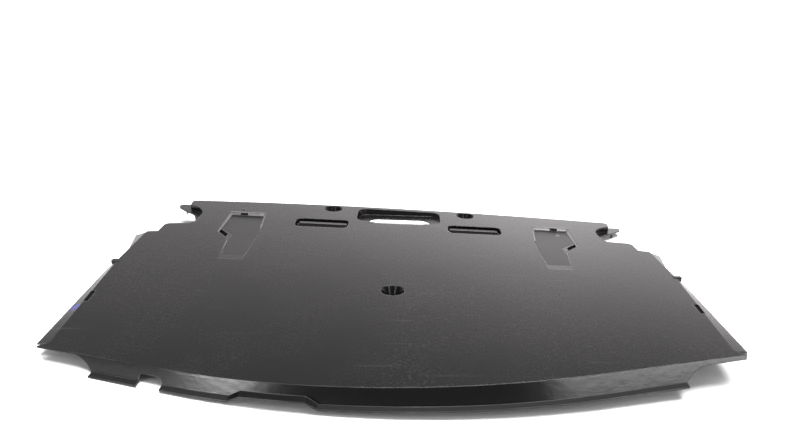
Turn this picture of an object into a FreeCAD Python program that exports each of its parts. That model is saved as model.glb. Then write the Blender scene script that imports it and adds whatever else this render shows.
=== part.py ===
import FreeCAD, Part
import math
import os
import re
import Sketcher

# Engine splash shield: one moulded plastic tray that closes the underside of an engine bay.
# It lies with its smooth road side up. X runs across the car, Y from the front lip to the rear
# edge, Z up. Plan sizes are measured on the road face; the whole sheet has taken a slight twist,
# so every level is a depth below that twisted face.

SIZES = [
    ("frontHalf", 604.0, "half width across the front corners"),
    ("depth", 785.0, "front corner line to the middle of the rear edge"),
    ("noseRadius", 1360.0, "bow of the front edge"),
    ("noseHalf", 350.0, "half width of the bow, before it runs out straight to the corners"),
    ("cornerIn", 16.0, "front corner cut off, along the front"),
    ("cornerBack", 14.0, "front corner cut off, along the side"),
    ("rearBow", 25.0, "how far the rear edge bows behind its corners"),
    ("rearHalf", 576.0, "half width across the rear corners"),
    ("rearRound", 12.0, "radius of the rear corners"),
    ("sideHalf", 617.0, "half width at the middle of the sides"),
    ("shoulderHalf", 591.0, "half width at the shoulder ahead of the ears"),
    ("wall", 3.0, "moulded wall"),
    ("twist", 16.0, "height that each corner has warped"),
    ("lipDrop", 31.5, "road face to the underside of the lip flange"),
    ("lipLean", 9.5, "how far the foot of the lip leans out"),
    ("lipTwist", 13.3, "height that each end of the lip's foot has warped"),
    ("lipInset", 110.0, "full lip, inside each front corner"),
    ("lipSweep", 39.0, "run of the curve from lip to corner hem"),
    ("cornerHem", 6.0, "height of the short hem beside the lip"),
    ("flangeWidth", 12.5, "flange beyond the lip"),
    ("raiseLeft", 246.0, "left foot of the raised stretch of flange"),
    ("raiseRight", 101.0, "right foot of the raised stretch of flange"),
    ("raiseRise", 10.0, "height of the raised stretch"),
    ("raiseRun", 20.0, "run of each slope of the raised stretch"),
    ("notchCentre", 383.0, "lip notch, left of the middle"),
    ("notchWidth", 42.0, "width of the lip notch"),
    ("notchHeight", 14.0, "height of the lip notch"),
    ("hemWide", 22.0, "side hem at the front corner"),
    ("hemNarrow", 12.0, "side hem at its rear end"),
    ("hemFall", 8.0, "fall of the side hem"),
    ("hemRear", 405.0, "rear end of the side hem, ahead of the rear corners"),
    ("sideSlotLength", 44.0, "length of the slot in the side fold"),
    ("sideSlotWidth", 9.0, "width of the slot in the side fold"),
    ("sideSlotSet", 185.0, "slot centre behind the front corners"),
    ("sideSlotIn", 4.0, "slot centre inside the fold"),
    ("flapRear", 244.0, "rear end of the turned-down flap, ahead of the rear corners"),
    ("flapLength", 96.0, "length of the turned-down flap"),
    ("flapWide", 24.0, "widest part of the flap"),
    ("flapFall", 8.0, "fall of the flap"),
    ("ledgeDrop", 13.0, "panel to the lower ledge of the ears"),
    ("earReach", 34.0, "ear beyond the rear corner"),
    ("pegRadius", 2.5, "locating peg under the ear"),
    ("pegLength", 13.5, "peg below the ear"),
    ("pegBroken", 5.0, "what has broken off the left peg"),
    ("collarRadius", 5.0, "level collar that the peg stands on"),
    ("collarFall", 1.0, "collar below the ear"),
    ("cupRadius", 25.0, "rim of the screw cups"),
    ("cupFloorRadius", 11.0, "floor of the screw cups"),
    ("cupDepth", 24.0, "depth of the screw cups"),
    ("screwRadius", 4.25, "screw hole in the cup floor"),
    ("cupSpacing", 366.0, "rear cups, centre to centre"),
    ("rearCupSet", 32.0, "rear cups ahead of the middle of the rear edge"),
    ("centreCupSet", 240.0, "centre cup behind the front corners"),
    ("recessLength", 226.0, "dished recess round the rear slot"),
    ("recessWidth", 104.0, "its width"),
    ("recessSet", 17.0, "rear side of the recess ahead of the rear edge"),
    ("recessDepth", 13.0, "its depth"),
    ("recessDraft", 20.0, "lean of its walls"),
    ("recessRound", 28.0, "its corner radius"),
    ("slotLength", 172.0, "rear slot"),
    ("slotWidth", 76.0, "its width"),
    ("slotSet", 54.0, "rear side of the slot ahead of the rear edge"),
    ("pocketLength", 138.0, "stepped pocket"),
    ("pocketWidth", 60.0, "its width"),
    ("pocketInner", 130.0, "pocket, nearer end from the middle"),
    ("pocketSet", 122.0, "rear side of the pocket ahead of the rear edge"),
    ("pocketDepth", 26.0, "its deep trough"),
    ("pocketStep", 12.0, "its shelf: depth, and width from front to rear"),
    ("pocketRound", 16.0, "corner radius of the pocket"),
    ("pocketEdge", 5.0, "round edge of the shelf"),
    ("rampInner", 357.0, "ramped pad, nearer side from the middle"),
    ("rampWidth", 95.0, "its width at its rear side"),
    ("rampSet", 102.0, "rear side of the pad ahead of the rear edge"),
    ("rampLength", 303.0, "length of the pad"),
    ("rampHead", 138.0, "length of its wide rear part"),
    ("rampStepIn", 44.0, "how far its outer side steps in"),
    ("rampDepth", 6.0, "depth at its rear side"),
    ("padSlotLength", 18.0, "screw slot in the pad"),
    ("padSlotWidth", 7.0, "its width"),
    ("padSlotSet", 14.0, "slot ahead of the rear side of the pad"),
    ("dimpleDepth", 9.0, "depth of the hollow where the pad's outer side steps in"),
    ("pipRadius", 3.5, "low pip behind the left pad"),
    ("pipHeight", 1.2, "its height"),
    ("pipSet", 76.0, "pip ahead of the rear edge"),
]

doc = FreeCAD.newDocument("SplashShield")
sheet = doc.addObject("Spreadsheet::Sheet", "Sizes")
for row, (alias, number, note) in enumerate(SIZES, start=1):
    sheet.set("A%d" % row, alias)
    sheet.set("B%d" % row, str(number))
    sheet.setAlias("B%d" % row, alias)
    sheet.set("C%d" % row, note)
doc.recompute()
ALIASES = {alias for alias, _, _ in SIZES}

# Lines that several profiles share, as expressions of the sheet.
FRONT = "(-depth / 2)"
REAR = "(depth / 2)"
CORNER = "(depth / 2 - rearBow)"
ARM_SLOPE = "(noseHalf / sqrt(noseRadius^2 - noseHalf^2))"
NOSE_SAG = "(noseRadius - sqrt(noseRadius^2 - noseHalf^2))"
FRONT_SAG = "(%s + (frontHalf - noseHalf) * %s)" % (NOSE_SAG, ARM_SLOPE)
REAR_RADIUS = "(((rearHalf - rearRound)^2 + rearBow^2) / (2 * rearBow))"
TOP = "(3 * lipDrop)"
LIP_START = "(1.5 * lipDrop)"
LIP_SET_BACK = "(1.5 * lipLean)"
SHEET_FRONT = "(-0.7 * depth - %s)" % FRONT_SAG
SHEET_REAR = "(0.6 * depth)"
SHEET_HALF = "(0.6 * (frontHalf + sideHalf))"
SKIN_MIDDLE = "(-wall / 2)"
LIP_HALF = "(frontHalf - lipInset)"
RAMP_OUTER = "(rampInner + rampWidth)"


def cells(expression):
    """An expression with each size written as its cell."""
    return re.sub(r"[A-Za-z_]+", lambda m: "Sizes." + m.group() if m.group() in ALIASES else m.group(),
                  expression)


def number(expression):
    return float(sheet.evalExpression(cells(expression)))


def twisted(x, y, level):
    """Level below the twisted road face, at a place in plan."""
    return "(%s - twist * (%s) / frontHalf * (%s) / (depth / 2))" % (level, x, y)


def mirrored(x, side):
    return x if side > 0 else "(-(%s))" % x


def new_body(name):
    body = doc.addObject("PartDesign::Body", name)
    body.Label = name
    return body


def new_sketch(body, name, role, offset):
    """A sketch on one of the body's own origin planes, moved along the plane's normal."""
    plane = [feature for feature in body.Origin.OriginFeatures if feature.Role == role][0]
    sketch = body.newObject("Sketcher::SketchObject", name)
    sketch.AttachmentSupport = (plane, [""])
    sketch.MapMode = "FlatFace"
    sketch.setExpression("AttachmentOffset.Base.z", cells(offset))
    return sketch


def bind(sketch, kind, refs, expression):
    index = sketch.addConstraint(Sketcher.Constraint(kind, *refs, number(expression)))
    sketch.setExpression("Constraints[%d]" % index, cells(expression))


def draw(sketch, path):
    """A closed profile. Each entry is the corner it starts from, x and y, and the edge to the next
    corner: a line, or an arc given by its radius and whether it turns left (1) or right (-1)."""
    corners = [FreeCAD.Vector(number(entry[0]), number(entry[1]), 0) for entry in path]
    ends = []
    for place, entry in enumerate(path):
        start, end = corners[place], corners[(place + 1) % len(path)]
        if len(entry) == 2:
            sketch.addGeometry(Part.LineSegment(start, end), False)
            ends.append((1, 2))
            continue
        radius, turn = number(entry[2]), entry[3]
        chord = end - start
        inward = FreeCAD.Vector(-chord.y, chord.x, 0).normalize() * turn
        rise = math.sqrt(max(radius ** 2 - (chord.Length / 2) ** 2, 0))
        centre = (start + end) / 2 + inward * rise
        first, last = (start, end) if turn > 0 else (end, start)
        angles = [math.atan2(point.y - centre.y, point.x - centre.x) for point in (first, last)]
        circle = Part.Circle(centre, FreeCAD.Vector(0, 0, 1), radius)
        sketch.addGeometry(Part.ArcOfCircle(circle, angles[0], angles[1]), False)
        ends.append((1, 2) if turn > 0 else (2, 1))
    for place, entry in enumerate(path):
        following = (place + 1) % len(path)
        sketch.addConstraint(Sketcher.Constraint("Coincident", place, ends[place][1],
                                                 following, ends[following][0]))
    for place, entry in enumerate(path):
        bind(sketch, "DistanceX", (-1, 1, place, ends[place][0]), entry[0])
        bind(sketch, "DistanceY", (-1, 1, place, ends[place][0]), entry[1])
        if len(entry) == 4:
            bind(sketch, "Radius", (place,), entry[2])


def plan(name, path):
    """A plan outline as an upright prism through every level."""
    body = new_body(name)
    sketch = new_sketch(body, name + "_outline", "XY_Plane", "-" + TOP)
    draw(sketch, path)
    pad = body.newObject("PartDesign::Pad", name + "_pad")
    pad.Profile = sketch
    pad.setExpression("Length", cells("2 * " + TOP))
    return body


def section(name, path, rear, length):
    """A front view profile as a prism, running forward from the line named rear."""
    body = new_body(name)
    sketch = new_sketch(body, name + "_profile", "XZ_Plane", "-(%s)" % rear)
    draw(sketch, path)
    pad = body.newObject("PartDesign::Pad", name + "_pad")
    pad.Profile = sketch
    pad.setExpression("Length", cells(length))
    return body


def strip(name, ends):
    """A ruled sheet between two cross profiles. Each end is y and the corners of its profile."""
    body = new_body(name)
    sketches = []
    for y, corners in ends:
        sketch = new_sketch(body, "%s_end%d" % (name, len(sketches)), "XZ_Plane", "-(%s)" % y)
        draw(sketch, corners)
        sketches.append(sketch)
    loft = body.newObject("PartDesign::AdditiveLoft", name + "_loft")
    loft.Profile = sketches[0]
    loft.Sections = [sketches[1]]
    loft.Ruled = True
    return body


def layer(name, top, bottom, front=SHEET_FRONT, rear=SHEET_REAR):
    """The space between two levels of the twisted sheet. A level is one depth, or a pair of depths
    at the front and rear ends."""
    half = SHEET_HALF
    ends = []
    for place, y in enumerate((front, rear)):
        upper = top if isinstance(top, str) else top[place]
        lower = bottom if isinstance(bottom, str) else bottom[place]
        corners = []
        for x, level in (("-" + half, lower), (half, lower), (half, upper), ("-" + half, upper)):
            corners.append((x, twisted(x, y, level)))
        ends.append((y, corners))
    return strip(name, ends)


def combine(kind, name, *shapes):
    result = doc.addObject(kind, name)
    result.Shapes = list(shapes)
    return result


def common(name, *shapes):
    """What all the shapes share, taken two at a time."""
    shared = shapes[0]
    for place, shape in enumerate(shapes[1:], start=1):
        step = name if place == len(shapes) - 1 else "%s_step%d" % (name, place)
        shared = combine("Part::MultiCommon", step, shared, shape)
    return shared


def rounded_box(x0, x1, y0, y1, radius):
    """A rectangle with round corners, as a path."""
    return [
        ("%s + %s" % (x0, radius), y0),
        ("%s - %s" % (x1, radius), y0, radius, 1),
        (x1, "%s + %s" % (y0, radius)),
        (x1, "%s - %s" % (y1, radius), radius, 1),
        ("%s - %s" % (x1, radius), y1),
        ("%s + %s" % (x0, radius), y1, radius, 1),
        (x0, "%s - %s" % (y1, radius)),
        (x0, "%s + %s" % (y0, radius), radius, 1),
    ]


solids = []
voids = []
dimples = []

# The front edge bows over the middle and runs out straight to the corners.
def front_line(grow, half, turn=1):
    """The front edge moved outward by grow, from left to right, or back again for a turn of -1."""
    radius = "(noseRadius + %s)" % grow
    bend = "(noseHalf / noseRadius * %s)" % radius
    bend_y = "(%s - %s + noseRadius - sqrt(%s^2 - %s^2))" % (FRONT, FRONT_SAG, radius, bend)
    end_y = "(%s + (%s - %s) * %s)" % (bend_y, half, bend, ARM_SLOPE)
    path = []
    for side, reach, y, edge in ((-turn, half, end_y, ()), (-turn, bend, bend_y, (radius, turn)),
                                 (turn, bend, bend_y, ()), (turn, half, end_y, ())):
        path.append(("(%d * %s)" % (side, reach), y) + edge)
    return path


def behind_front(name, grow, beyond):
    """The space behind the front edge, moved outward by grow. Its front face leans out towards the
    foot of the lip, and it is turned with the twist along the front."""
    body = new_body(name)
    half = "(frontHalf + %s)" % beyond
    rear = "(%s + %s)" % (REAR, beyond)
    path = front_line("(%s - %s)" % (grow, LIP_SET_BACK), half) + [(half, rear), ("(-%s)" % half, rear)]
    sketch = new_sketch(body, name + "_outline", "XY_Plane", LIP_START)
    draw(sketch, path)
    pad = body.newObject("PartDesign::Pad", name + "_pad")
    pad.Profile = sketch
    pad.Reversed = True
    pad.setExpression("Length", cells("2 * " + TOP))
    pad.setExpression("TaperAngle", cells("atan(lipLean / lipDrop)"))
    body.Placement.Rotation = FreeCAD.Rotation(FreeCAD.Vector(0, 1, 0), -1)
    body.setExpression("Placement.Rotation.Angle", cells("-atan(twist / frontHalf)"))
    return body


lip_face = behind_front("lip_face", "0", "(0.1 * frontHalf)")
lip_back = behind_front("lip_back", "(-wall)", "(0.2 * frontHalf)")

# The skin. Its outline runs round from the left front corner, and each side mirrors the other.
RIGHT_SIDE = [
    ("frontHalf + cornerIn", FRONT + " - cornerBack"),
    ("frontHalf - cornerIn", FRONT + " + cornerBack"),
    ("sideHalf", CORNER + " - hemRear"),
    ("sideHalf", CORNER + " - flapRear + 8"),
    ("shoulderHalf", CORNER + " - 230"),
    ("shoulderHalf", CORNER + " - 190", "14", 1),
    ("shoulderHalf - 14", CORNER + " - 176"),
    ("rearHalf - 41", CORNER + " - 170"),
    ("rearHalf - 53", CORNER + " - 156"),
    ("rearHalf - 55", CORNER + " - 115", "75", -1),
    ("rearHalf - 4", CORNER + " - 38"),
    ("rearHalf", CORNER + " - rearRound", "rearRound", 1),
]
outline = front_line("3 * lipLean", "(frontHalf + cornerIn)") + RIGHT_SIDE
outline += [("rearHalf - rearRound", CORNER, REAR_RADIUS, 1)]
left_ends = RIGHT_SIDE[::-1]
outline += [("rearRound - rearHalf", CORNER, "rearRound", 1)]
for place, entry in enumerate(left_ends):
    following = left_ends[place + 1] if place + 1 < len(left_ends) else None
    edge = following[2:] if following else ()
    outline.append(("-(%s)" % entry[0], entry[1]) + tuple(edge))
skin = common("skin", plan("skin_plan", outline), layer("skin_layer", "0", "-wall"), lip_face)
solids.append(skin)

# The lip: a leaning wall under the front edge, with a flange along its foot. Seen from the front,
# its foot rises over one stretch, and at each end it sweeps up to a short hem.
def front_band(name, outer, inner, half):
    """The strip in plan between two lines that run beside the front edge."""
    return plan(name, front_line(outer, half) + front_line(inner, half, -1))


def foot(x, height):
    """Level of the lip's foot, which has warped a little less than the sheet."""
    return "((%s) - lipDrop + lipTwist * (%s) / frontHalf)" % (height, x)


def lip_foot(lift):
    """The foot line of the lip from left to right, lifted by the wall for the flange's top."""
    return [
        ("-" + LIP_HALF, foot("-" + LIP_HALF, lift)),
        ("-raiseLeft", foot("-raiseLeft", lift)),
        ("-raiseLeft + raiseRun", foot("-raiseLeft", lift + " + raiseRise")),
        ("-raiseRight - raiseRun", foot("-raiseRight", lift + " + raiseRise")),
        ("-raiseRight", foot("-raiseRight", lift)),
        (LIP_HALF, foot(LIP_HALF, lift)),
    ]


HEM_END = "(%s + lipSweep)" % LIP_HALF
HEM_LEVEL = "lipDrop - cornerHem"
LIP_END = "(frontHalf - wall / 4)"
lip_profile = lip_foot("0")
lip_profile[-1] = (LIP_HALF, foot(LIP_HALF, "0"), "(1.1 * lipSweep)", -1)
lip_profile += [
    (HEM_END, foot(HEM_END, HEM_LEVEL)),
    (LIP_END, foot(LIP_END, HEM_LEVEL)),
    (LIP_END, TOP),
    ("-" + LIP_END, TOP),
    ("-" + LIP_END, foot("-" + LIP_END, HEM_LEVEL)),
    ("-" + HEM_END, foot("-" + HEM_END, HEM_LEVEL), "(1.1 * lipSweep)", -1),
]
lip_block = common("lip_block", lip_face,
                   layer("lip_layer", SKIN_MIDDLE, "-2 * lipDrop"),
                   section("lip_section", lip_profile, "depth", "2 * depth"))
flange_profile = lip_foot("0") + lip_foot("wall")[::-1]
flange_block = common("flange_block",
                      front_band("flange_plan", "(lipLean + flangeWidth)", "(-2 * wall)", LIP_HALF),
                      section("flange_section", flange_profile, "depth", "2 * depth"))
for name, block in (("lip_wall", lip_block), ("flange", flange_block)):
    piece = doc.addObject("Part::Cut", name)
    piece.Base = block
    piece.Tool = lip_back
    solids.append(piece)

NOTCH_LEFT = "(-notchCentre - notchWidth / 2)"
NOTCH_RIGHT = "(-notchCentre + notchWidth / 2)"
NOTCH_TOP = foot("-notchCentre", "notchHeight")
notch = section("lip_notch", [
    (NOTCH_LEFT, "-2 * lipDrop"),
    (NOTCH_RIGHT, "-2 * lipDrop"),
    (NOTCH_RIGHT, NOTCH_TOP + " - 8", "8", 1),
    (NOTCH_RIGHT + " - 8", NOTCH_TOP),
    (NOTCH_LEFT + " + 8", NOTCH_TOP, "8", 1),
    (NOTCH_LEFT, NOTCH_TOP + " - 8"),
], FRONT + " + 10", "depth")
voids.append(notch)


def side_strip(name, side, y0, wide0, fall0, x0, y1, wide1, fall1, x1):
    """A strip along one side that falls away outward from the edge of the skin."""
    ends = []
    for y, x, wide, fall in ((y0, x0, wide0, fall0), (y1, x1, wide1, fall1)):
        inner = "(%s - wall)" % x
        outer = "(%s + %s)" % (x, wide)
        corners = []
        for place, level in ((inner, "-wall"), (outer, "-wall - " + fall),
                             (outer, "-" + fall), (x, "-0.05"), (inner, "-0.1")):
            there = mirrored(place, side)
            corners.append((there, twisted(there, y, level)))
        ends.append((y, corners))
    return strip(name, ends)


for side, hand in ((1, "right"), (-1, "left")):
    # Side hem, slot in its fold, and the thick tab at its rear end.
    solids.append(side_strip("side_hem_" + hand, side, FRONT + " + cornerBack - wall",
                             "hemWide", "(hemFall / 4)", "(frontHalf - cornerIn)",
                             CORNER + " - hemRear", "hemNarrow", "hemFall", "sideHalf"))
    # Turned-down flap ahead of the shoulder.
    solids.append(side_strip("flap_" + hand, side,
                             CORNER + " - flapRear - flapLength", "1.5", "1", "sideHalf",
                             CORNER + " - flapRear", "flapWide", "flapFall", "sideHalf"))


def rounded_side(path, side):
    """A path of the right side, or its mirror image."""
    result = []
    for entry in path:
        edge = (entry[2], entry[3] * side) if len(entry) == 4 else ()
        result.append((mirrored(entry[0], side), entry[1]) + edge)
    return result


def upright(name, path, top, depth, draft):
    """A prism sunk from a level plane, its sides leaning in, and carried up through the skin."""
    body = new_body(name)
    for part, reach, lean in (("sunk", depth, draft), ("open", "lipDrop", "0")):
        sketch = new_sketch(body, name + "_" + part + "_outline", "XY_Plane", top)
        draw(sketch, path)
        pad = body.newObject("PartDesign::Pad", name + "_" + part)
        pad.Profile = sketch
        pad.Reversed = part == "sunk"
        pad.setExpression("Length", cells(reach))
        pad.setExpression("TaperAngle", cells("-(%s)" % lean))
    return body


def turned(name, path, x, y):
    """A turned form on an upright axis, its levels measured from the road face there."""
    body = new_body(name)
    sketch = new_sketch(body, name + "_profile", "XZ_Plane", "0")
    draw(sketch, path)
    turn = body.newObject("PartDesign::Revolution", name + "_turn")
    turn.Profile = sketch
    turn.ReferenceAxis = (sketch, ["V_Axis"])
    turn.Angle = 360.0
    body.setExpression("Placement.Base.x", cells(x))
    body.setExpression("Placement.Base.y", cells(y))
    body.setExpression("Placement.Base.z", cells(twisted(x, y, "0")))
    return body


UNDER_SKIN = layer("under_skin", SKIN_MIDDLE, "-2 * lipDrop")

# Three screw cups.
CUPS = [
    ("centre", "0", FRONT + " + centreCupSet"),
    ("right", "cupSpacing / 2", REAR + " - rearCupSet"),
    ("left", "-cupSpacing / 2", REAR + " - rearCupSet"),
]
for place, x, y in CUPS:
    solids.append(turned("cup_" + place, [
        ("0", "-cupDepth - wall"),
        ("cupFloorRadius + wall", "-cupDepth - wall"),
        ("cupRadius + wall", SKIN_MIDDLE),
        ("0", SKIN_MIDDLE),
    ], x, y))
    voids.append(turned("cup_bore_" + place, [
        ("0", "-2 * cupDepth"),
        ("screwRadius", "-2 * cupDepth"),
        ("screwRadius", "-cupDepth"),
        ("cupFloorRadius", "-cupDepth"),
        ("cupRadius - 2", "-3"),
        ("cupRadius", "0"),
        ("cupRadius + 1", "wall"),
        ("0", "wall"),
    ], x, y))

# Dished recess near the rear edge, with the long slot in its floor.
RECESS_REAR = REAR + " - recessSet"
RECESS_FRONT = REAR + " - recessSet - recessWidth"
recess = upright("recess_wall", rounded_box("(-recessLength / 2 - wall)", "(recessLength / 2 + wall)",
                                            "(%s - wall)" % RECESS_FRONT, "(%s + wall)" % RECESS_REAR,
                                            "(recessRound + wall)"),
                 "0", "recessDepth + wall", "recessDraft")
solids.append(common("recess_shell", recess, UNDER_SKIN))
voids.append(upright("recess_hollow", rounded_box("(-recessLength / 2)", "(recessLength / 2)",
                                                  "(%s)" % RECESS_FRONT, "(%s)" % RECESS_REAR,
                                                  "recessRound"),
                     "0", "recessDepth", "recessDraft"))
SLOT_REAR = "(%s - slotSet)" % REAR
voids.append(plan("rear_slot", rounded_box("(-slotLength / 2)", "(slotLength / 2)",
                                           "(%s - slotWidth)" % SLOT_REAR, SLOT_REAR,
                                           "(slotWidth / 2.2)")))

# Features that stand in pairs.
POCKET_REAR = "(%s - pocketSet)" % REAR
POCKET_FRONT = "(%s - pocketWidth)" % POCKET_REAR
POCKET_SHELF = "(%s - pocketStep)" % POCKET_REAR
RAMP_REAR = "(%s - rampSet)" % REAR
RAMP_FRONT = "(%s - rampLength)" % RAMP_REAR
RAMP_STEP = "(%s - rampHead)" % RAMP_REAR
PAD_SLOT = "(rampInner + (rampWidth + padSlotLength) / 2)"


def pocket_form(name, side, grow, top):
    """A stepped pocket, moved outward by grow: its outline in plan, and its side view with a shelf
    along the rear, whose edge is round, and a trough ahead of it."""
    inner = "(pocketInner - %s)" % grow
    outer = "(pocketInner + pocketLength + %s)" % grow
    x0, x1 = (inner, outer) if side > 0 else ("(-%s)" % outer, "(-%s)" % inner)
    box = plan(name + "_plan", rounded_box(x0, x1, "(%s - %s)" % (POCKET_FRONT, grow),
                                           "(%s + %s)" % (POCKET_REAR, grow), "(pocketRound + %s)" % grow))
    body = new_body(name + "_side_view")
    floor = "-pocketDepth - " + grow
    shelf = "-pocketStep - " + grow
    rear = "(%s + %s)" % (POCKET_SHELF, grow)
    edge = "max(pocketEdge - %s; 0.1 * pocketEdge)" % grow
    sketches = []
    for place, x in enumerate((x0, x1)):
        path = []
        for y, level, bend in (("(%s - 2 * wall)" % POCKET_FRONT, floor, ()),
                               (rear, floor, ()),
                               (rear, "%s - %s" % (shelf, edge), (edge, -1)),
                               ("(%s + %s)" % (rear, edge), shelf, ()),
                               ("(%s + 2 * wall)" % POCKET_REAR, shelf, ()),
                               ("(%s + 2 * wall)" % POCKET_REAR, top, ()),
                               ("(%s - 2 * wall)" % POCKET_FRONT, top, ())):
            path.append((y, twisted(x, y, level)) + bend)
        sketch = new_sketch(body, "%s_end%d" % (name, place), "YZ_Plane", x)
        draw(sketch, path)
        sketches.append(sketch)
    loft = body.newObject("PartDesign::AdditiveLoft", name + "_loft")
    loft.Profile = sketches[0]
    loft.Sections = [sketches[1]]
    loft.Ruled = True
    return common(name, box, body)


def dimple_outline(side, grow):
    """The small hollow where the outer side of the pad steps in."""
    return rounded_side([
        (RAMP_OUTER + " - rampStepIn + 8 - " + grow, RAMP_STEP + " - 41 - " + grow),
        (RAMP_OUTER + " - 4 + " + grow, RAMP_STEP + " + 1 - " + grow),
        (RAMP_OUTER + " - 3 + " + grow, RAMP_STEP + " + 26 + " + grow),
        (RAMP_OUTER + " - rampStepIn + 10 - " + grow, RAMP_STEP + " - 11 + " + grow),
    ], side)


def ramp_outline(side, grow):
    return rounded_side([
        ("rampInner - 12 - " + grow, RAMP_FRONT + " - " + grow),
        (RAMP_OUTER + " - rampStepIn - 8 + " + grow, RAMP_FRONT + " - " + grow),
        (RAMP_OUTER + " - rampStepIn + 2 + " + grow, RAMP_STEP + " - 58"),
        (RAMP_OUTER + " - rampStepIn + 10 + " + grow, RAMP_STEP + " - 16 - " + grow),
        (RAMP_OUTER + " - 4 + " + grow, RAMP_STEP + " - " + grow),
        (RAMP_OUTER + " + " + grow, RAMP_REAR + " + " + grow),
        ("rampInner - " + grow, RAMP_REAR + " + " + grow),
        ("rampInner - 14 - " + grow, RAMP_STEP),
    ], side)


for side, hand in ((1, "right"), (-1, "left")):
    solids.append(pocket_form("pocket_shell_" + hand, side, "wall", SKIN_MIDDLE))
    voids.append(pocket_form("pocket_hollow_" + hand, side, "0", "wall"))

    # Ramped pad: no depth at its front end, full depth at its rear, with a screw slot.
    shell = layer("ramp_shell_layer_" + hand, SKIN_MIDDLE, ("-wall - 0.4", "-wall - rampDepth"),
                  RAMP_FRONT + " - wall", RAMP_REAR + " + wall")
    solids.append(common("ramp_shell_" + hand, plan("ramp_shell_plan_" + hand, ramp_outline(side, "wall")),
                         shell))
    hollow = layer("ramp_hollow_layer_" + hand, "lipDrop", ("-0.4", "-rampDepth"), RAMP_FRONT, RAMP_REAR)
    voids.append(common("ramp_hollow_" + hand, plan("ramp_hollow_plan_" + hand, ramp_outline(side, "0")),
                        hollow))
    solids.append(common("dimple_shell_" + hand,
                         plan("dimple_shell_plan_" + hand, dimple_outline(side, "wall")),
                         layer("dimple_shell_layer_" + hand, SKIN_MIDDLE, "-dimpleDepth - wall")))
    dimples.append(common("dimple_hollow_" + hand,
                          plan("dimple_hollow_plan_" + hand, dimple_outline(side, "0")),
                          layer("dimple_hollow_layer_" + hand, "wall", "-dimpleDepth")))
    slot_x = mirrored(PAD_SLOT, side)
    slot_y = "(%s - padSlotSet)" % RAMP_REAR
    voids.append(plan("pad_slot_" + hand, rounded_box(
        "(%s - padSlotLength / 2)" % slot_x, "(%s + padSlotLength / 2)" % slot_x,
        "(%s - padSlotWidth / 2)" % slot_y, "(%s + padSlotWidth / 2)" % slot_y, "(padSlotWidth / 2.1)")))

    # Ear: a ledge below the panel, the step wall up to the panel, and a locating peg.
    wall_path = [
        ("rearHalf - 53", CORNER + " - 156"),
        ("rearHalf - 55", CORNER + " - 115", "75", -1),
        ("rearHalf - 4", CORNER + " - 38"),
        ("rearHalf", CORNER + " - 12"),
        ("rearHalf", CORNER + " - 8"),
        ("rearHalf - wall", CORNER + " - 4"),
        ("rearHalf - 4 - wall", CORNER + " - 37", "(75 + wall)", 1),
        ("rearHalf - 55 - wall", CORNER + " - 115"),
        ("rearHalf - 53 - wall", CORNER + " - 156"),
    ]
    solids.append(common("ear_step_" + hand, plan("ear_step_plan_" + hand, rounded_side(wall_path, side)),
                         layer("ear_step_layer_" + hand, SKIN_MIDDLE, "-ledgeDrop - wall / 2")))
    ledge_path = [
        ("rearHalf - 53", CORNER + " - 156"),
        ("rearHalf - 44", CORNER + " - 125"),
        ("rearHalf - 34", CORNER + " - 99", "60", -1),
        ("rearHalf - 2", CORNER + " - 59"),
        ("rearHalf + earReach - 4", CORNER + " - 30"),
        ("rearHalf + earReach + 2", CORNER + " - 14"),
        ("rearHalf + earReach - 2", CORNER + " - 3"),
        ("rearHalf - wall", CORNER + " - 4"),
        ("rearHalf - 4 - wall", CORNER + " - 37", "(75 + wall)", 1),
        ("rearHalf - 55 - wall", CORNER + " - 115"),
        ("rearHalf - 53 - wall", CORNER + " - 156"),
    ]
    solids.append(common("ear_ledge_" + hand, plan("ear_ledge_plan_" + hand, rounded_side(ledge_path, side)),
                         layer("ear_ledge_layer_" + hand, "-ledgeDrop", "-ledgeDrop - wall")))
    peg_x = mirrored("rearHalf + 5", side)
    peg_y = CORNER + " - 45"
    solids.append(turned("peg_collar_" + hand, [
        ("0", "-ledgeDrop - wall - collarFall"),
        ("collarRadius", "-ledgeDrop - wall - collarFall"),
        ("collarRadius", "-ledgeDrop - wall / 2"),
        ("0", "-ledgeDrop - wall / 2"),
    ], peg_x, peg_y))
    length = "pegLength" if side > 0 else "(pegLength - pegBroken)"
    solids.append(turned("peg_" + hand, [
        ("0", "-ledgeDrop - wall - " + length),
        ("pegRadius - 1", "-ledgeDrop - wall - " + length),
        ("pegRadius", "-ledgeDrop - wall - %s + 2" % length),
        ("pegRadius", "-ledgeDrop - wall / 2"),
        ("0", "-ledgeDrop - wall / 2"),
    ], peg_x, peg_y))

    # Slot along the fold of the side hem, and the thick tab at the hem's rear end.
    lean = "((sideHalf - frontHalf + cornerIn) / (depth - rearBow - hemRear))"
    slot_x = "(frontHalf - cornerIn - sideSlotIn + sideSlotSet * %s)" % lean
    half_run = "(sideSlotLength / 2 * %s)" % lean
    slot_path = []
    for across, along in ((-1, -1), (1, -1), (1, 1), (-1, 1)):
        slot_path.append(("%s + %d * sideSlotWidth / 2 + %d * %s" % (slot_x, across, along, half_run),
                          "%s + sideSlotSet + %d * sideSlotLength / 2" % (FRONT, along)))
    voids.append(plan("side_slot_" + hand, rounded_side(slot_path, side)))
    tab_path = [
        ("sideHalf - 5", CORNER + " - hemRear - 5"),
        ("sideHalf + hemNarrow", CORNER + " - hemRear - 5"),
        ("sideHalf + hemNarrow - 2", CORNER + " - hemRear + 3"),
        ("sideHalf - 5", CORNER + " - hemRear + 3"),
    ]
    solids.append(common("side_tab_" + hand, plan("side_tab_plan_" + hand, rounded_side(tab_path, side)),
                         layer("side_tab_layer_" + hand, "wall / 2", "-hemFall - wall")))

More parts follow.
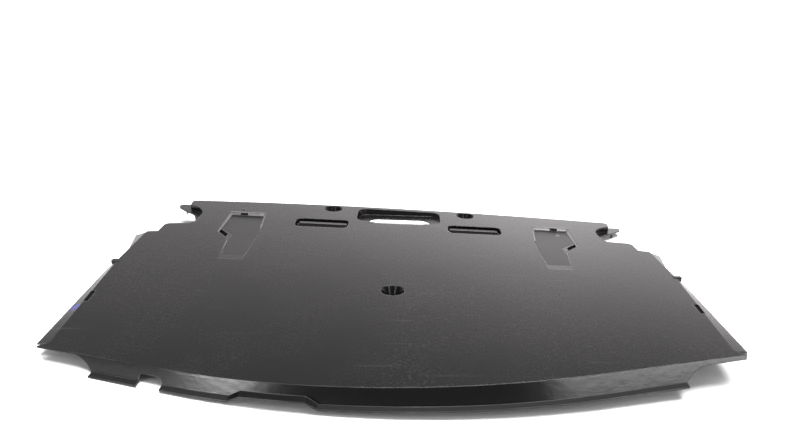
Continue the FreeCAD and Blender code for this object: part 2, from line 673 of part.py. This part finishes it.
solids.append(turned("pip", [
    ("0", SKIN_MIDDLE),
    ("pipRadius", SKIN_MIDDLE),
    ("pipRadius", "pipHeight / 2"),
    ("pipRadius - pipHeight / 2", "pipHeight"),
    ("0", "pipHeight"),
], "-%s - padSlotLength / 2" % PAD_SLOT, REAR + " - pipSet"))

# The dimples run into the pads' hollows, so they are cut after them.
shield = combine("Part::MultiFuse", "all_walls", *solids)
for name, spaces in (("openings", voids), ("dimples", dimples)):
    opened = doc.addObject("Part::Cut", "with_" + name)
    opened.Base = shield
    opened.Tool = combine("Part::MultiFuse", name, *spaces)
    shield = opened
shield.Label = "splash_shield"
# The origin is the bottom centre of the box that the part fills.
shield.setExpression("Placement.Base.y", cells("(%s + lipLean + flangeWidth) / 2" % FRONT_SAG))
shield.setExpression("Placement.Base.z", cells("-(%s)" % foot("-" + LIP_HALF, "0")))
doc.recompute()

for thing in doc.Objects:
    if "Invalid" in thing.State or "Error" in thing.State:
        raise SystemExit("%s failed: %s" % (thing.Name, thing.State))
shape = shield.Shape
if shape.isNull() or not shape.isValid() or len(shape.Solids) != 1:
    raise SystemExit("the shield is not one valid solid: %d" % len(shape.Solids))
os.makedirs("parts", exist_ok=True)
shape.exportStep("parts/%s.step" % shield.Label)
box = shape.optimalBoundingBox(False)
print("%s %.0f x %.0f x %.1f mm, %.3f litres" % (shield.Label, box.XLength, box.YLength, box.ZLength,
                                                shape.Volume / 1e6))
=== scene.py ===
import math

import bmesh
import bpy
from mathutils import Matrix, Vector


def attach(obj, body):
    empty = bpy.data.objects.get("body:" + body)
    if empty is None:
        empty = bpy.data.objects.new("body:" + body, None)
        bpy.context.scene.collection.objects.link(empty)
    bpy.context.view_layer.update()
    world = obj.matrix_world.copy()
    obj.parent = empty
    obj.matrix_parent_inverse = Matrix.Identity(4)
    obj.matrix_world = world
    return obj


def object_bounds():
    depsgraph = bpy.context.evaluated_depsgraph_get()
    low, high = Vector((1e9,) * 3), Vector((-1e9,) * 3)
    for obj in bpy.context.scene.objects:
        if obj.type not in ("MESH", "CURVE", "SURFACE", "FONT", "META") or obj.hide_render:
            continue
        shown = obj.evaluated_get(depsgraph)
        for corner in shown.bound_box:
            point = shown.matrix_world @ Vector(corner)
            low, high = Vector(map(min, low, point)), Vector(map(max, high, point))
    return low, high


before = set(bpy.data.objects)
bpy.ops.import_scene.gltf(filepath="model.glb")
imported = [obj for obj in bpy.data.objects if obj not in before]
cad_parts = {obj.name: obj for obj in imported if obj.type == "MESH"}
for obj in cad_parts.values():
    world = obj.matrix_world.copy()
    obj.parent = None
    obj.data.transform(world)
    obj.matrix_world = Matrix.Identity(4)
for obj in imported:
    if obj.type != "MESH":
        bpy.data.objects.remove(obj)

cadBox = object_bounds()
middle = [(low + high) / 2 for low, high in zip(*cadBox)]
hands = ((1, "Right"), (-1, "Left"))


def addToScene(thing):
    bpy.context.scene.collection.objects.link(thing)
    return thing


# Camera: stands in front of the lip and looks down over the road side
camera = {
    "place": (0.033, -1.3157, 0.6137),
    "lookDown": 18.45,      # degrees below level
    "turnLeft": 1.01,
    "roll": 1.52,
    "lens": 29.7,           # mm on a 36 mm wide sensor
    "reach": 60,
}


def placeCamera(plan):
    data = bpy.data.cameras.new("shieldCamera")
    data.lens = plan["lens"]
    data.sensor_fit = "HORIZONTAL"
    data.clip_end = plan["reach"]
    eye = addToScene(bpy.data.objects.new("shieldCamera", data))
    turn = Matrix.Rotation(math.radians(plan["turnLeft"]), 4, "Z")
    tilt = Matrix.Rotation(math.radians(90 - plan["lookDown"]), 4, "X")
    roll = Matrix.Rotation(math.radians(plan["roll"]), 4, "Z")
    eye.matrix_world = Matrix.Translation(plan["place"]) @ turn @ tilt @ roll
    bpy.context.scene.camera = eye
    print("camera ready")


placeCamera(camera)


# Small helpers for building node trees
def newMaterial(name):
    material = bpy.data.materials.new(name)
    material.use_nodes = True
    tree = material.node_tree
    tree.nodes.clear()
    return material, tree


def addNode(tree, kind, values=None, **settings):
    node = tree.nodes.new(kind)
    for key, value in settings.items():
        setattr(node, key, value)
    for key, value in (values or {}).items():
        node.inputs[key].default_value = value
    return node


def wire(tree, *pairs):
    for source, target in pairs:
        tree.links.new(source, target)


def splitUp(tree, vector):
    node = addNode(tree, "ShaderNodeSeparateXYZ")
    wire(tree, (vector, node.inputs["Vector"]))
    return [node.outputs[axis] for axis in "XYZ"]


def noise(tree, place, size, detail=2.0, roughness=0.5):
    node = addNode(tree, "ShaderNodeTexNoise",
                   {"Scale": 1 / size, "Detail": detail, "Roughness": roughness})
    wire(tree, (place, node.inputs["Vector"]))
    return node.outputs["Fac"]


def spread(tree, value, low, high, toLow=0.0, toHigh=1.0):
    node = addNode(tree, "ShaderNodeMapRange",
                   {"From Min": low, "From Max": high, "To Min": toLow, "To Max": toHigh})
    wire(tree, (value, node.inputs["Value"]))
    return node.outputs["Result"]


def combine(tree, operation, first, second):
    node = addNode(tree, "ShaderNodeMath", operation=operation)
    for index, value in enumerate((first, second)):
        if isinstance(value, (int, float)):
            node.inputs[index].default_value = value
        else:
            wire(tree, (value, node.inputs[index]))
    return node.outputs["Value"]


def mixColours(tree, amount, first, second):
    node = addNode(tree, "ShaderNodeMix", data_type="RGBA")
    for name, value in ((6, first), (7, second)):
        if isinstance(value, tuple):
            node.inputs[name].default_value = value
        else:
            wire(tree, (value, node.inputs[name]))
    wire(tree, (amount, node.inputs[0]))
    return node.outputs[2]


# A ramp of grey or tinted steps, whose first lies at 0 and last at 1
def steps(tree, value, stops):
    node = addNode(tree, "ShaderNodeValToRGB")
    ramp = node.color_ramp
    for place, _ in stops[1:-1]:
        ramp.elements.new(place)
    for element, (_, colour) in zip(ramp.elements, stops):
        element.color = colour
    wire(tree, (value, node.inputs["Fac"]))
    return node.outputs["Color"]


# The road face, which the small pieces below are set against: it has a warp
face = {
    "middle": 0.0424,       # its height
    "warp": 0.016,          # rise or fall of the corners
    "half": 0.604,          # how far they lie from the middle, across and along
    "halfDepth": 0.3925,
    "centre": 0.0677,       # y of the warp's middle
}


def faceHeight(x, y):
    warp = face["warp"] * x / face["half"] * (y - face["centre"]) / face["halfDepth"]
    return face["middle"] - warp


# The same for a material: how far a place lies above the road face
def overFace(tree, place):
    x, y, z = splitUp(tree, place)
    run = face["warp"] / face["half"] / face["halfDepth"]
    along = combine(tree, "SUBTRACT", y, face["centre"])
    warp = combine(tree, "MULTIPLY", combine(tree, "MULTIPLY", x, along), run)
    return combine(tree, "ADD", combine(tree, "SUBTRACT", z, face["middle"]), warp)


# Black plastic of the whole tray
plastic = {
    "clean": (0.0038, 0.0037, 0.0038, 1),
    "dusty": (0.018, 0.017, 0.017, 1),
    "scuffed": (0.13, 0.127, 0.124, 1),
    # pale colour of painted sheen and highlights, for the pad slopes, pad rims and pocket shelves
    "paintedSheen": (0.075, 0.073, 0.071, 1),
    "ior": 1.32,
    "polished": 0.20,               # roughness of the walls
    "grained": 0.27,                # and of the road face
    "matt": 0.40,                   # and of the pads
    "level": (0.80, 0.97),          # how far up a wall looks, and how far a face
    "grainSize": 0.0018,            # metres between the pips of the moulded grain
    "grainDepth": 0.000035,
    "rippleSize": 0.016,            # patches where the lip's shine breaks up
    "rippleDepth": 0.0004,
    "bump": 0.6,
    "edgeRadius": 0.0022,
    "edgeTurn": (0.08, 0.40),       # turn of the face where the wear of an edge starts, and is full
    "edgeStretch": 0.06,            # metres, for worn and whole stretches
    "edgeWear": (0.35, 0.65, 0.10, 0.34),   # noise, and the wear that it gives
    "dustPatch": 0.22,              # size of the dusty places
    "dustPatchFrom": (0.42, 0.68),
    "dustSpeck": 0.006,             # and of the specks in them
    "dustSpeckFrom": (0.50, 0.78),
    "dustRoughness": 0.13,          # what dust adds
    "flangeTop": (-0.022, -0.014),  # height of the lip's flange over the road face
    "flangeRear": (-0.345, -0.33),
    "flangeRoughness": 0.3,         # what it adds
    "scratches": ((38, 0.30), (-58, 0.26)),     # degrees, and metres along one
    "scratchThin": 28.0,            # length of a scratch for its width
    "scratchFrom": (0.685, 0.735),
    "scratchStrength": 0.10,
    "spots": [
        {"colour": (0.012, 0.014, 0.16, 1), "place": (-0.605, -0.184, 0.029),
         "size": (0.008, 0.016, 0.02)},         # blue pen
        {"colour": (0.004, 0.004, 0.004, 1), "place": (0.5855, -0.277, 0.0563),
         "size": (0.005, 0.009, 0.01)},         # dark stain
    ],
}


def dustMask(tree, place, look):
    patches = spread(tree, noise(tree, place, look["dustPatch"], 5.0, 0.65), *look["dustPatchFrom"])
    specks = spread(tree, noise(tree, place, look["dustSpeck"], 3.0, 0.7), *look["dustSpeckFrom"])
    return combine(tree, "MULTIPLY", patches, specks)


def flangeMask(tree, place, look):
    y = splitUp(tree, place)[1]
    return combine(tree, "MULTIPLY", spread(tree, overFace(tree, place), *look["flangeTop"], 1.0, 0.0),
                   spread(tree, y, *look["flangeRear"], 1.0, 0.0))


# Thin marks that run one way across the road face
def scratches(tree, place, turn, length, look):
    lay = addNode(tree, "ShaderNodeMapping")
    lay.inputs["Rotation"].default_value = (0, 0, math.radians(turn))
    lay.inputs["Scale"].default_value = (1.0, look["scratchThin"], 1.0)
    wire(tree, (place, lay.inputs["Vector"]))
    return spread(tree, noise(tree, lay.outputs["Vector"], length, 3.0, 0.55), *look["scratchFrom"])


# An edge is where the rounded face turns away from the flat one
def edgeMask(tree, place, facing, rounded, look):
    apart = addNode(tree, "ShaderNodeVectorMath", operation="DISTANCE")
    wire(tree, (rounded, apart.inputs[0]), (facing, apart.inputs[1]))
    return combine(tree, "MULTIPLY", spread(tree, apart.outputs["Value"], *look["edgeTurn"]),
                   spread(tree, noise(tree, place, look["edgeStretch"]), *look["edgeWear"]))


# A soft round spot: 1 at its middle, 0 outside
def spot(tree, place, centre, size):
    shift = addNode(tree, "ShaderNodeVectorMath", operation="SUBTRACT")
    shift.inputs[1].default_value = centre
    shrink = addNode(tree, "ShaderNodeVectorMath", operation="DIVIDE")
    shrink.inputs[1].default_value = size
    length = addNode(tree, "ShaderNodeVectorMath", operation="LENGTH")
    wire(tree, (place, shift.inputs[0]), (shift.outputs["Vector"], shrink.inputs[0]),
         (shrink.outputs["Vector"], length.inputs[0]))
    return spread(tree, length.outputs["Value"], 0.6, 1.0, 1.0, 0.0)


def makePlastic(name, look):
    material, tree = newMaterial(name)
    place = addNode(tree, "ShaderNodeTexCoord").outputs["Object"]
    facing = addNode(tree, "ShaderNodeNewGeometry").outputs["Normal"]
    edge = addNode(tree, "ShaderNodeBevel", {"Radius": look["edgeRadius"]}, samples=6)
    rounded = edge.outputs["Normal"]
    shader = addNode(tree, "ShaderNodeBsdfPrincipled", {"IOR": look["ior"]})
    out = addNode(tree, "ShaderNodeOutputMaterial")

    level = spread(tree, splitUp(tree, facing)[2], *look["level"])
    dust = combine(tree, "MULTIPLY", dustMask(tree, place, look), level)
    flange = combine(tree, "MULTIPLY", flangeMask(tree, place, look), level)
    one, other = [scratches(tree, place, turn, length, look) for turn, length in look["scratches"]]
    marks = combine(tree, "MULTIPLY", combine(tree, "MAXIMUM", one, other), level)
    marks = combine(tree, "MULTIPLY", marks, look["scratchStrength"])

    colour = mixColours(tree, dust, look["clean"], look["dusty"])
    colour = mixColours(tree, marks, colour, look["scuffed"])
    colour = mixColours(tree, edgeMask(tree, place, facing, rounded, look), colour, look["scuffed"])
    for mark in look["spots"]:
        colour = mixColours(tree, spot(tree, place, mark["place"], mark["size"]), colour, mark["colour"])

    rough = spread(tree, level, 0, 1, look["polished"], look["grained"])
    rough = combine(tree, "ADD", rough, combine(tree, "MULTIPLY", dust, look["dustRoughness"]))
    rough = combine(tree, "ADD", rough, combine(tree, "MULTIPLY", flange, look["flangeRoughness"]))

    ripple = combine(tree, "MULTIPLY", noise(tree, place, look["rippleSize"], 4.0, 0.6),
                     spread(tree, level, 0, 1, look["rippleDepth"] / look["grainDepth"], 0.0))
    grain = combine(tree, "ADD", noise(tree, place, look["grainSize"]), ripple)
    bump = addNode(tree, "ShaderNodeBump", {"Strength": look["bump"], "Distance": look["grainDepth"]})
    wire(tree, (colour, shader.inputs["Base Color"]), (rough, shader.inputs["Roughness"]),
         (grain, bump.inputs["Height"]), (rounded, bump.inputs["Normal"]),
         (bump.outputs["Normal"], shader.inputs["Normal"]),
         (shader.outputs["BSDF"], out.inputs["Surface"]))
    return material


def makePlain(name, values):
    material, tree = newMaterial(name)
    shader = addNode(tree, "ShaderNodeBsdfPrincipled", values)
    out = addNode(tree, "ShaderNodeOutputMaterial")
    wire(tree, (shader.outputs["BSDF"], out.inputs["Surface"]))
    return material


blackPlastic = makePlastic("blackPlastic", plastic)
# a copy of the plastic in the pale colour of painted sheen and highlights
sheenPaintedPlastic = makePlastic("sheenPaintedPlastic", {**plastic, "clean": plastic["paintedSheen"]})
mattPlastic = makePlastic("mattPlastic", {**plastic, "grained": plastic["matt"]})
# flat black without shine, for sheets of painted shade in slots and pockets
paintedShadeBlack = makePlain("paintedShadeBlack", {"Base Color": (0.004, 0.004, 0.004, 1), "Roughness": 0.95,
                                    "Specular IOR Level": 0.1})
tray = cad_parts["splash_shield"]
tray.data.materials.clear()
tray.data.materials.append(blackPlastic)
print("plastic ready")


def addPiece(name, points, faces, material):
    mesh = bpy.data.meshes.new(name)
    mesh.from_pydata(points, [], faces)
    shape = bmesh.new()
    shape.from_mesh(mesh)
    bmesh.ops.recalc_face_normals(shape, faces=shape.faces)
    shape.to_mesh(mesh)
    shape.free()
    mesh.materials.append(material)
    piece = addToScene(bpy.data.objects.new(name, mesh))
    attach(piece, "root")
    return piece


# A slab of even thickness under its top
def makeSlab(name, top, thick, material):
    count = len(top)
    points = top + [(x, y, z - thick) for x, y, z in top]
    faces = [tuple(range(count)), tuple(range(count, 2 * count))]
    for edge in range(count):
        beside = (edge + 1) % count
        faces.append((edge, beside, beside + count, edge + count))
    return addPiece(name, points, faces, material)


# A slab with four corners; its top is given as heights over the road face, front and rear
def makeBar(name, side, bar, material):
    (inner, outer), (front, rear), (low, high) = bar["across"], bar["along"], bar["top"]
    corners = ((inner, front, low), (outer, front, low), (outer, rear, high), (inner, rear, high))
    top = [(side * x, y, faceHeight(side * x, y) + height) for x, y, height in corners]
    return makeSlab(name, top, bar["thick"], material)


# Ramped pads: their walls lean, so a slope stands against each wall of the hollow; the slopes carry a
# painted sheen, a pale bar along the rear rim is a painted highlight and a black bar in the slot is
# painted shade.
# The paths are places on the right pad, seen from above
pads = {
    "front": 0.0552,
    "length": 0.303,
    "depth": (0.0004, 0.006),   # at the front and at the rear
    "headPath": [(0.448, 0.2202), (0.452, 0.3582), (0.357, 0.3582), (0.346, 0.2502)],
    "tailPath": [(0.402, 0.0852), (0.410, 0.1622)],
    "lean": 1.2,                # run of a slope for its height
    "slopeTop": 0.0003,         # below the road face
    "slopeFoot": 0.0001,        # above the floor of the pad
    "slopeBack": 0.001,         # how far its back reaches under that floor
    "facePath": [(0.347, 0.0852), (0.399, 0.0852), (0.407, 0.1602), (0.407, 0.2102),
                 (0.442, 0.2482), (0.449, 0.3572), (0.358, 0.3572), (0.345, 0.2202)],
    "faceLift": 0.0002,         # dull sheet above the floor of the pad
    "faceThick": 0.001,
    # a pale bar of painted highlight along the rear rim
    "rim": {"across": (0.359, 0.452), "along": (0.3572, 0.3632), "top": (0.0002, 0.0002),
            "thick": 0.001},
    # a black bar of painted shade in the slot
    "slot": {"across": (0.404, 0.423), "along": (0.3522, 0.3572), "top": (-0.0030, -0.0004),
             "thick": 0.0015},
}


def padDepth(y, plan):
    shallow, deep = plan["depth"]
    return shallow + (deep - shallow) * (y - plan["front"]) / plan["length"]


# A wedge along one wall of the pad, which lies to the left of its path; its paler colour is a painted
# sheen
def makeSlope(name, side, path, plan):
    plane = [Vector(point) for point in path]
    normals = []
    for start, end in zip(plane, plane[1:]):
        along = (end - start).normalized()
        normals.append(Vector((-along.y, along.x)))
    points = []
    for place, point in enumerate(plane):
        before = normals[max(place - 1, 0)]
        after = normals[min(place, len(normals) - 1)]
        inward = (before + after) / (1 + before.dot(after))
        depth = padDepth(point.y, plan)
        foot = point + inward * plan["lean"] * depth
        for base, drop in ((point, plan["slopeTop"]), (foot, depth - plan["slopeFoot"]),
                           (point, depth + plan["slopeBack"])):
            x = base.x * side
            points.append((x, base.y, faceHeight(x, base.y) - drop))
    faces = [(0, 1, 2), tuple(len(points) - back for back in (1, 2, 3))]
    for place in range(len(plane) - 1):
        for corner in range(3):
            beside = (corner + 1) % 3
            faces.append((3 * place + corner, 3 * place + beside,
                          3 * place + 3 + beside, 3 * place + 3 + corner))
    return addPiece(name, points, faces, sheenPaintedPlastic)


# A thin sheet on the floor of the pad, which is duller than the road face
def makePadFace(name, side, plan):
    top = [(side * x, y, faceHeight(side * x, y) - padDepth(y, plan) + plan["faceLift"])
           for x, y in plan["facePath"]]
    return makeSlab(name, top, plan["faceThick"], mattPlastic)


def makePads(plan):
    for side, hand in hands:
        makePadFace("padFace" + hand, side, plan)
        makeSlope("padHead" + hand, side, plan["headPath"], plan)
        makeSlope("padTail" + hand, side, plan["tailPath"], plan)
        makeBar("padRimHighlight" + hand, side, plan["rim"], sheenPaintedPlastic)
        makeBar("padSlotShade" + hand, side, plan["slot"], paintedShadeBlack)
    print("pads ready")


makePads(pads)


# Stepped pockets: a pale bar along the shelf's edge is a painted highlight, with the black wall above it
# and a black sheet of painted shade below it
pockets = {
    # a pale bar of painted highlight along the shelf's edge
    "shelf": {"across": (0.136, 0.262), "along": (0.3292, 0.3372), "top": (-0.010, -0.008),
              "thick": 0.0012},
    # a black sheet of painted shade below it
    "shadeSheet": {"across": (0.136, 0.262), "along": (0.3042, 0.3342), "top": (-0.0112, -0.0112),
             "thick": 0.006},
}


def makePocketHighlightAndShade(plan):
    for side, hand in hands:
        makeBar("pocketShelfHighlight" + hand, side, plan["shelf"], sheenPaintedPlastic)
        makeBar("pocketShadeSheet" + hand, side, plan["shadeSheet"], paintedShadeBlack)
    print("pockets ready")


makePocketHighlightAndShade(pockets)


# Side slots: a black sheet of painted shade lies behind each, so they look dark
slots = {
    "place": (0.5991, -0.1398),     # middle of the right one
    "turn": 4.7,                    # degrees, along the fold
    "size": (0.016, 0.056, 0.005),
    "below": 0.0031,                # top of the black shade sheet below the road face
}


def makeSlotShade(plan):
    wide, long, thick = plan["size"]
    turn = Matrix.Rotation(math.radians(-plan["turn"]), 2)
    for side, hand in hands:
        top = []
        for across, along in ((-1, -1), (1, -1), (1, 1), (-1, 1)):
            offset = turn @ Vector((across * wide / 2, along * long / 2))
            x = side * (plan["place"][0] + offset.x)
            y = plan["place"][1] + offset.y
            top.append((x, y, faceHeight(x, y) - plan["below"]))
        makeSlab("sideSlotShade" + hand, top, thick, paintedShadeBlack)
    print("slots ready")


makeSlotShade(slots)


# Studio: a white table under soft light from above, bright low surroundings and low lights in front
studio = {
    "tableHalf": 12.0,
    "tableFront": -0.62,            # near the lip, whose middle mirrors the dark room past it
    "tableColour": (0.9, 0.9, 0.9, 1),
    "tableRoughness": 0.7,
    "sun": {"energy": 7.5, "angle": 42, "fromRight": 8, "fromBehind": 3},
    "lights": [
        {"name": "softLeft", "from": (-1.3, -2.0, 1.95), "size": (0.36, 1.0), "radiance": 9.0},
        {"name": "softRight", "from": (1.5, -1.9, 1.95), "size": (0.36, 1.0), "radiance": 9.0},
        {"name": "tallLeft", "from": (-1.64, -2.30, 0.2), "size": (0.64, 0.4), "radiance": 51.0},
        {"name": "tallRight", "from": (2.15, -1.90, 0.2), "size": (1.6, 0.4), "radiance": 16.0},
    ],
    "strength": 3.5,
    # brightness of the surroundings by the sine of their height above level
    "upward": [(0.0, 1.0), (0.26, 1.0), (0.285, 0.83), (0.31, 0.58), (0.335, 0.39), (0.38, 0.29),
               (0.47, 0.18), (0.56, 0.12), (1.0, 0.10)],
    "tint": (0.965, 0.975),         # green and blue for a full red
    # and across, from the far left (-1) to the far right (1)
    "across": [(-1.0, 0.25), (-0.42, 0.66), (0.0, 0.82), (0.2, 0.86), (0.34, 0.63), (0.6, 0.64),
               (1.0, 0.45)],
    # and from behind the camera to the far side: where it grows, and from what to what
    "along": (-0.35, 0.25, 0.05, 1.0),
    # the least that shows anywhere, well above level and well below it
    "high": (0.14, 0.26, 0.0, 0.35),
    "low": (-0.20, -0.08, 0.6, 0.0),
}


def makeTable(plan):
    half, front = plan["tableHalf"], plan["tableFront"]
    mesh = bpy.data.meshes.new("whiteFloor")
    corners = [(-half, front, 0), (half, front, 0), (half, half, 0), (-half, half, 0)]
    mesh.from_pydata(corners, [], [(0, 1, 2, 3)])
    mesh.materials.append(makePlain("whitePaper", {"Base Color": plan["tableColour"],
                                                   "Roughness": plan["tableRoughness"]}))
    floor = addToScene(bpy.data.objects.new("whiteFloor", mesh))


def hangLight(plan):
    light = bpy.data.lights.new(plan["name"], "AREA")
    light.shape = "RECTANGLE"
    light.size, light.size_y = plan["size"]
    light.energy = plan["radiance"] * math.pi * light.size * light.size_y
    lamp = addToScene(bpy.data.objects.new(plan["name"], light))
    aim = Vector(middle) - Vector(plan["from"])
    lamp.matrix_world = (Matrix.Translation(plan["from"])
                         @ aim.to_track_quat("-Z", "Y").to_matrix().to_4x4())


def hangSun(plan):
    light = bpy.data.lights.new("overhead", "SUN")
    light.energy = plan["energy"]
    light.angle = math.radians(plan["angle"])
    lamp = addToScene(bpy.data.objects.new("overhead", light))
    lamp.rotation_euler = (math.radians(-plan["fromBehind"]), math.radians(plan["fromRight"]), 0)


def lightRoom(plan):
    world = bpy.data.worlds.new("whiteRoom")
    bpy.context.scene.world = world
    world.use_nodes = True
    tree = world.node_tree
    tree.nodes.clear()
    x, y, z = splitUp(tree, addNode(tree, "ShaderNodeTexCoord").outputs["Generated"])
    room = addNode(tree, "ShaderNodeBackground")
    out = addNode(tree, "ShaderNodeOutputWorld")

    green, blue = plan["tint"]
    upward = steps(tree, z, [(height, (bright, bright * green, bright * blue, 1))
                             for height, bright in plan["upward"]])
    across = steps(tree, spread(tree, x, -1.0, 1.0),
                   [((place + 1) / 2, (bright, bright, bright, 1)) for place, bright in plan["across"]])
    along = spread(tree, y, *plan["along"])
    for least in (plan["high"], plan["low"]):
        along = combine(tree, "MAXIMUM", along, spread(tree, z, *least))
    strength = combine(tree, "MULTIPLY", combine(tree, "MULTIPLY", across, plan["strength"]), along)
    wire(tree, (upward, room.inputs["Color"]), (strength, room.inputs["Strength"]),
         (room.outputs["Background"], out.inputs["Surface"]))


makeTable(studio)
for light in studio["lights"]:
    hangLight(light)
hangSun(studio["sun"])
lightRoom(studio)
bpy.context.scene.view_settings.view_transform = "Standard"
print("studio ready")
